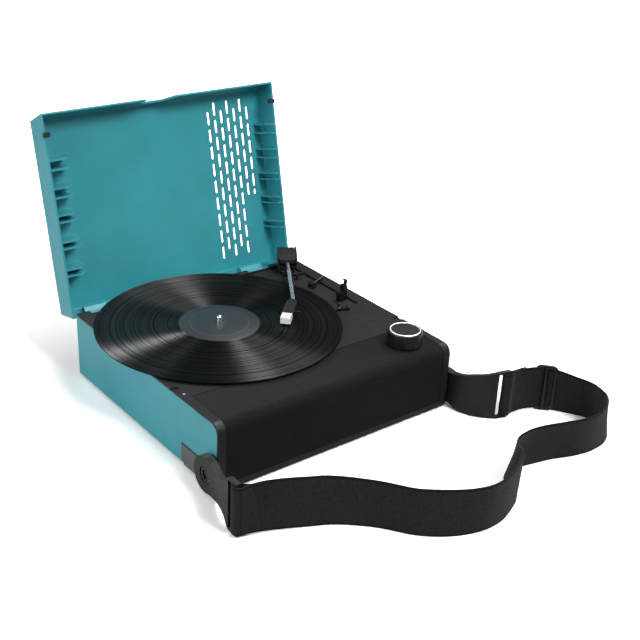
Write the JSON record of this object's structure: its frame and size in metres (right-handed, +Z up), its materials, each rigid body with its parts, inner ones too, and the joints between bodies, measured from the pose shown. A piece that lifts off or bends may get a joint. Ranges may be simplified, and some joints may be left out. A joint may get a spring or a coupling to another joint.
{
  "type": "suitcase record player",
  "caption": "Portable suitcase record player with a slotted fold-back lid, belt-driven platter, tonearm, cloth front, volume knob and a carry strap.",
  "frame": {"origin": "centre of the casing's underside, 3 mm above the plane that the feet stand on", "axes": "+X towards the player's right side (the volume knob side), +Y towards its rear (the lid hinge), +Z up"},
  "size_m": [0.482, 0.6206, 0.3211],
  "materials": {
    "teal_plastic": "satin moulded plastic",
    "charcoal_plastic": "satin moulded plastic",
    "black_plastic": "satin moulded plastic",
    "grey_plastic": "textured",
    "white_plastic": "gloss",
    "red_plastic": "gloss",
    "lens_plastic": "clear gloss",
    "circuit_board": "solder mask",
    "battery_wrap": "shrink wrap",
    "rubber": "matte",
    "speaker_cloth": "woven",
    "speaker_cone": "matte",
    "chrome": "polished",
    "steel": "satin",
    "brass": "turned",
    "webbing": "ribbed webbing"
  },
  "bodies": {
    "base": {"base_tub": "teal_plastic", "deck_frame": "charcoal_plastic", "chassis_pan": "black_plastic", "foot_front_left": "rubber", "foot_front_right": "rubber", "foot_rear_left": "rubber", "foot_rear_right": "rubber", "speaker_cloth": "speaker_cloth", "speaker_baffle": "black_plastic", "driver_left": "steel", "driver_right": "steel", "driver_cone_left": "speaker_cone", "driver_cone_right": "speaker_cone", "main_board": "circuit_board", "battery_pack": "battery_wrap", "rear_socket_panel": "black_plastic", "line_out_left": "white_plastic", "line_out_right": "red_plastic", "aux_socket": "black_plastic", "power_socket": "black_plastic", "spindle_bearing": "brass", "motor": "steel", "tonearm_pedestal": "black_plastic", "arm_rest": "black_plastic", "speed_selector_base": "black_plastic", "encoder_body": "black_plastic", "indicator_lens": "lens_plastic", "hinge_pin_left": "steel", "hinge_pin_right": "steel", "strap_mount_left": "grey_plastic", "strap_mount_right": "grey_plastic", "strap_screw_left": "black_plastic", "strap_screw_right": "black_plastic", "drive_belt": "rubber"},
    "platter": {"platter": "black_plastic", "platter_mat": "rubber", "spindle": "chrome"},
    "pulley": {"motor_pulley": "brass"},
    "arm_carriage": {"tonearm_turret": "charcoal_plastic"},
    "tonearm": {"tonearm_block": "charcoal_plastic", "counterweight": "black_plastic", "tonearm_tube": "chrome", "headshell": "charcoal_plastic", "cartridge": "white_plastic", "stylus": "black_plastic"},
    "clip": {"arm_clip": "black_plastic"},
    "cue": {"cue_lever": "black_plastic"},
    "lifter": {"cue_lift_bar": "black_plastic"},
    "speed": {"speed_lever": "black_plastic"},
    "knob": {"volume_knob": "black_plastic", "knob_ring": "chrome", "knob_cap": "charcoal_plastic", "encoder_shaft": "steel"},
    "lid": {"lid_shell": "teal_plastic", "lid_bumper_left": "rubber", "lid_bumper_right": "rubber"},
    "strap": {"strap_lug_left": "black_plastic", "strap_lug_right": "black_plastic", "strap_webbing": "webbing", "strap_adjuster": "black_plastic"}
  },
  "joints": [
    {"name": "lid_hinge", "type": "hinge", "parent": "base", "child": "lid", "pos_m": [0, 0.159, 0.0736], "axis": [1, 0, 0], "range_deg": [0, 102.3]},
    {"name": "platter_spin", "type": "hinge", "parent": "base", "child": "platter", "pos_m": [-0.036, 0.038, 0.0812], "axis": [0, 0, 1], "continuous": true},
    {"name": "pulley_spin", "type": "hinge", "parent": "base", "child": "pulley", "pos_m": [0.01542, -0.02328, 0.072], "axis": [0, 0, 1], "continuous": true},
    {"name": "tonearm_swing", "type": "hinge", "parent": "base", "child": "arm_carriage", "pos_m": [0.1375, 0.1345, 0.095], "axis": [0, 0, 1], "range_deg": [-8, 33.2]},
    {"name": "tonearm_lift", "type": "hinge", "parent": "arm_carriage", "child": "tonearm", "pos_m": [0.1375, 0.1345, 0.095], "axis": [0.8387, -0.5446, 0], "range_deg": [-8, 0]},
    {"name": "arm_clip_turn", "type": "hinge", "parent": "base", "child": "clip", "pos_m": [0.144, 0.019, 0.0975], "axis": [0, -1, 0], "range_deg": [0, 100]},
    {"name": "cue_lever_turn", "type": "hinge", "parent": "base", "child": "cue", "pos_m": [0.133, 0.071, 0.084], "axis": [0.2756, -0.9613, 0], "range_deg": [0, 35]},
    {"name": "cue_lift", "type": "slide", "parent": "base", "child": "lifter", "axis": [0, 0, 1], "range_m": [0, 0.004]},
    {"name": "speed_lever_turn", "type": "hinge", "parent": "base", "child": "speed", "pos_m": [0.1135, -0.0087, 0.0846], "axis": [0.9063, -0.4226, 0], "range_deg": [-20, 20]},
    {"name": "volume_turn", "type": "hinge", "parent": "base", "child": "knob", "pos_m": [0.122, -0.124, 0.083], "axis": [0, 0, 1], "range_deg": [-150, 150]},
    {"name": "strap_swing", "type": "hinge", "parent": "base", "child": "strap", "pos_m": [0, -0.152, 0.023], "axis": [-1, 0, 0], "range_deg": [0, 90]}
  ],
  "couplings": [
    {"joint": "pulley_spin", "follows": "platter_spin", "ratio": 10},
    {"joint": "cue_lift", "follows": "cue_lever_turn", "m_per_rad": 0.006548}
  ]
}
